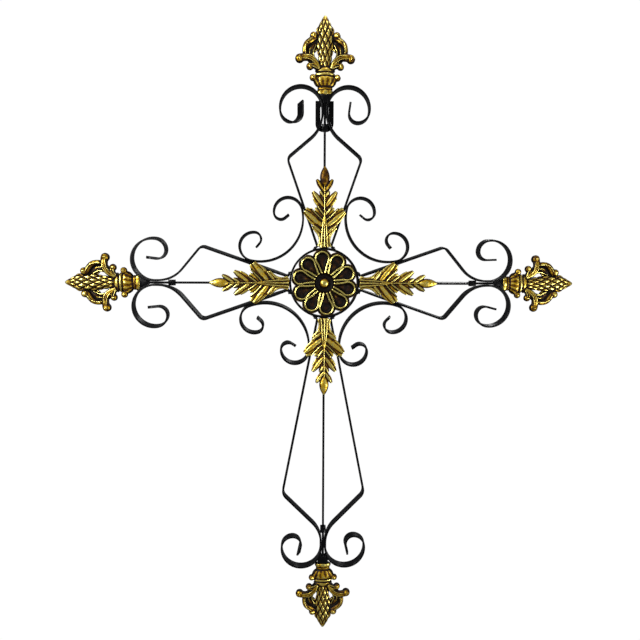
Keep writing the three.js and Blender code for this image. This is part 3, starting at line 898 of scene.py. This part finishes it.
def finial_parts():
    """The turned forms and bars that a finial's pattern is made up of."""
    core_rows = [(7, 34), (8, 36), (9.4, 46), (11.4, 59), (13.4, 73), (13.8, 80), (13, 86)]
    core_rows += [(9.2, 93.6), (5, 101), (1.5, 106.4)]
    heights = np.linspace(34, 106.4, 110)
    curve = smooth_rows(core_rows, 240)
    radii = np.interp(heights, curve[:, 1], curve[:, 0])

    def scales(angles, height):
        around = angles * 9 / (2 * math.pi)
        up = height / 16
        u = np.abs(2 * ((around + up) % 1) - 1)
        v = np.abs(2 * ((around - up) % 1) - 1)
        return 0.86 + 0.24 * (1 - np.maximum(u, v) ** 2.2)

    parts = [turned_casting(list(zip(radii * 0.94, heights)), 120, scales)]
    foot = [(0.3, -1), (9, -1), (11.8, 0.6), (12.2, 3), (11.4, 5), (10.4, 6), (11.4, 7.6), (10.8, 9)]
    foot += [(11, 10.2), (13.4, 11.6), (15.8, 14.6), (17.4, 18.6), (17.6, 21), (16, 23), (13, 24.2)]
    foot += [(12.6, 25), (14.8, 25.8), (15, 27.6), (13, 29), (12.8, 30), (15, 31), (14.4, 33.6)]
    foot += [(12, 35.6), (0.3, 36.6)]

    def scallops(angles, height):
        petals = 0.07 * np.abs(np.cos(angles * 4)) * (height < 6)
        flutes = 0.03 * np.cos(angles * 14) * (10.5 < height < 22)
        return 0.96 + petals + flutes

    foot_radii, foot_heights = zip(*foot)
    heights = np.linspace(-1, 36.6, 110)
    radii = np.interp(heights, foot_heights, foot_radii)
    parts.append(turned_casting(list(zip(radii, heights)), 128, scallops))
    # Bars from the neck: points of (across, along, depth), the half width at each, and a thickness
    outer_rim = [(11, 36, -1), (20, 43, -2.6), (27.6, 53, -3.4), (28.6, 60, -3.8), (26, 67, -3.8)]
    outer_rim += [(19.8, 72, -3.6), (13.6, 76.6, -3)]
    inner_rib = [(8.6, 31, -2), (10.8, 38, -2.6), (13.4, 44.6, -3), (15.8, 50.6, -3)]
    inner_rib += [(16.6, 56.6, -2.6), (14.8, 61, -2), (12.6, 66, -2)]
    web = [(12.4, 58.4, -0.8), (16.6, 62, -0.8), (18, 68, -0.8), (15.4, 75, -1.4), (12.6, 80, -2)]
    volute = [(8, 34, -3), (13, 41.8, -4.4), (20, 47.2, -5), (28.4, 48.6, -4.8), (35.4, 47.8, -4)]
    low_volute = [(9.6, 33.5, -3), (14.2, 36.4, -4), (18, 37.8, -4), (21, 37.4, -3.8)]
    bowl_volute = [(11.6, 17, -2.4), (15.2, 20.6, -3.4), (18, 21.8, -3.2)]
    bars = [
        (outer_rim, (2.4, 2.8, 3.2, 3.5, 4, 4.4, 4.4), 2.8),
        (inner_rib, (1.4, 1.4, 1.4, 1.4, 1.3, 1.2, 1.1), 2.4),
        (web, (3.2, 5, 6, 5, 4), 1.8),
        (volute, (3, 4.2, 4.9, 5.4, 6), 3.2),
        (low_volute, (2.4, 3.4, 4.3, 5), 2.8),
        (bowl_volute, (2.8, 3.8, 4.2), 2.6),
    ]
    for line, widths, thickness in bars:
        rows = [(x, z, y, w, thickness) for (x, z, y), w in zip(line, widths)]
        parts += [bar(side, steps=30) for side in both_sides(rows)]
    # The cupped blade behind the rim is drawn as lapping bars from the neck, each a step further in,
    # with fine ribs standing on it
    rim = smooth_rows(outer_rim, 14)
    rib = smooth_rows(inner_rib, 14)
    for share, half in ((0.2, 2.6), (0.42, 2.8), (0.64, 2.8), (0.84, 2.2)):
        rows = [(x, z, y + 3.6, half, 2.2) for x, z, y in rim * (1 - share) + rib * share]
        parts += [bar(side, steps=24) for side in both_sides(rows)]
    for share in (0.32, 0.54, 0.78):
        rows = [(x, z, y + 1.5, 0.7, 1) for x, z, y in (rim * (1 - share) + rib * share)[1:-2]]
        parts += [bar(side, steps=24, sides=8) for side in both_sides(rows)]
    # Ridges along the volutes and the rim: a line, how far below it the ridge bows, and a half width
    rim_line = outer_rim[2:]
    ridges = [(volute, 2.4, 0.9), (volute, -2.4, 0.9), (volute, 0, 0.8), (low_volute, -1.6, 0.8)]
    ridges += [(low_volute, 1.6, 0.8), (rim_line, -2.2, 0.9)]
    for line, drop, half in ridges:
        rows = []
        for i, (x, z, y) in enumerate(line):
            bow = math.sin(math.pi * (i + 0.4) / len(line))
            rows.append((x + 0.5 * drop * bow, z - drop * bow, y - 2.2, half, 1.3))
        parts += [bar(side, sides=8) for side in both_sides(rows)]
    # The rolled ends, each with a small eye on its front: across, height and radius
    rolls = [(16.2, 77.8, 5.4), (35.8, 47.2, 6.4), (21.4, 36.8, 5.3), (17.2, 21.8, 4.9)]
    slices = [(-1, 0.3), (-0.7, 0.75), (0, 1), (0.7, 0.75), (1, 0.3)]
    depth = -3.4
    for across, height, radius in rolls:
        for x in (-across, across):
            ball = [
                (x, height + s * radius * 0.94, depth, radius * c, 0.8 * radius * c) for s, c in slices
            ]
            parts.append(bar(ball, steps=14, sides=16))
            front = depth - radius * 0.74
            eye = [(x * 1.02, height + s * radius * 0.4, front, 0.9, 0.9) for s in (-1, 0, 1)]
            parts.append(bar(eye, steps=6, sides=8))
    return parts


def foot_of_finial(arm_name, clear_of_middle=0.2):
    """How far out along its arm a finial begins: at the innermost side of its box that is out there."""
    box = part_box(f"finial_{arm_name}")
    sides = [abs(corner[axis] - middle[axis]) for corner in box for axis in (0, 2)]
    return min(side for side in sides if side > clear_of_middle)


finial_points, finial_faces = cast_together(finial_parts(), 0.6, 2)
finials = []
for arm in arms:
    foot_place = foot_of_finial(arm["name"])
    finials.append(new_piece(
        f"cast_finial_{arm['name']}",
        placed(finial_points, arm["turn"], foot_place),
        finial_faces,
        antique_gold,
        "antique_gold",
        f"finial_{arm['name']}",
    ))
gild_and_shade(finials, 12, 0.34 * mm, level=0.4)

# Stage: a white room lit evenly from behind its sheets, as for a catalogue picture, with a pale floor
# below the cross and four soft lamps. The sheets show as plain white and light nothing, so the black
# iron mirrors only the lamps. The camera stands where the photograph was taken.

room_half_width = 5
room_height = 8
floor_below = 0.28
room_floor = cad_low.z - floor_below
room_corners = [
    (x, y, room_floor + z)
    for z in (0, room_height)
    for x, y in [(-1, -1), (1, -1), (1, 1), (-1, 1)]
]
room_mesh = bpy.data.meshes.new("white_room")
room_mesh.from_pydata(
    [(x * room_half_width, y * room_half_width, z) for x, y, z in room_corners],
    [],
    [(0, 1, 2, 3), (7, 6, 5, 4)] + [(4 + i, 4 + (i + 1) % 4, (i + 1) % 4, i) for i in range(4)],
)
room = bpy.data.objects.new("white_room", room_mesh)
bpy.context.scene.collection.objects.link(room)
room.visible_glossy = False
room.visible_diffuse = False
# A backlit sheet of white cloth: it glows flat white and shows no shade of its own
backlit_sheet, _, shader = new_material("backlit_white_sheet", "#ffffff")
shader.inputs["Base Color"].default_value = linear("#000000")
shader.inputs["Roughness"].default_value = 1
shader.inputs["Specular IOR Level"].default_value = 0
shader.inputs["Emission Color"].default_value = linear("#ffffff")
shader.inputs["Emission Strength"].default_value = 1.02
room_mesh.materials.append(backlit_sheet)

world = bpy.data.worlds.new("white_surround")
bpy.context.scene.world = world
world.use_nodes = True
world.node_tree.nodes["Background"].inputs["Color"].default_value = linear("#f2f4f8")
world.node_tree.nodes["Background"].inputs["Strength"].default_value = 0.12


def softbox(name, place, size, power):
    """A rectangular lamp that looks at the middle of the cross. Its power is in watts."""
    light = bpy.data.lights.new(name, "AREA")
    light.shape = "RECTANGLE"
    light.size, light.size_y = size
    light.energy = power
    lamp = bpy.data.objects.new(name, light)
    lamp.location = place
    lamp.rotation_euler = (middle - Vector(place)).to_track_quat("-Z", "Y").to_euler()
    bpy.context.scene.collection.objects.link(lamp)


softbox("key_softbox", (-1.5, -1.7, 0.4), (1, 1), 47)
softbox("fill_softbox", (1.5, -1.4, -1), (0.9, 1.2), 30)
softbox("top_softbox", (0.3, -0.4, 1.5), (1.4, 0.8), 12)
softbox("back_softbox", (1, 1.3, 1.3), (1, 1), 40)

# The camera's place and turn come from points of the cross found in the photograph
camera_from_middle = Vector((-0.0371, -0.7325, 0.0166))
yaw, pitch, roll = (math.radians(angle) for angle in (2.45, 5.54, 0.225))
camera_data = bpy.data.cameras.new("camera")
camera_data.lens = 28.09
camera_data.sensor_width = 36
camera = bpy.data.objects.new("camera", camera_data)
bpy.context.scene.collection.objects.link(camera)
turned = Matrix.Rotation(-yaw, 4, "Z")
tipped = Matrix.Rotation(math.pi / 2 - pitch, 4, "X")
rolled = Matrix.Rotation(roll, 4, "Z")
camera.matrix_world = Matrix.Translation(middle + camera_from_middle) @ (turned @ tipped @ rolled)
bpy.context.scene.camera = camera
bpy.context.scene.view_settings.view_transform = "Standard"
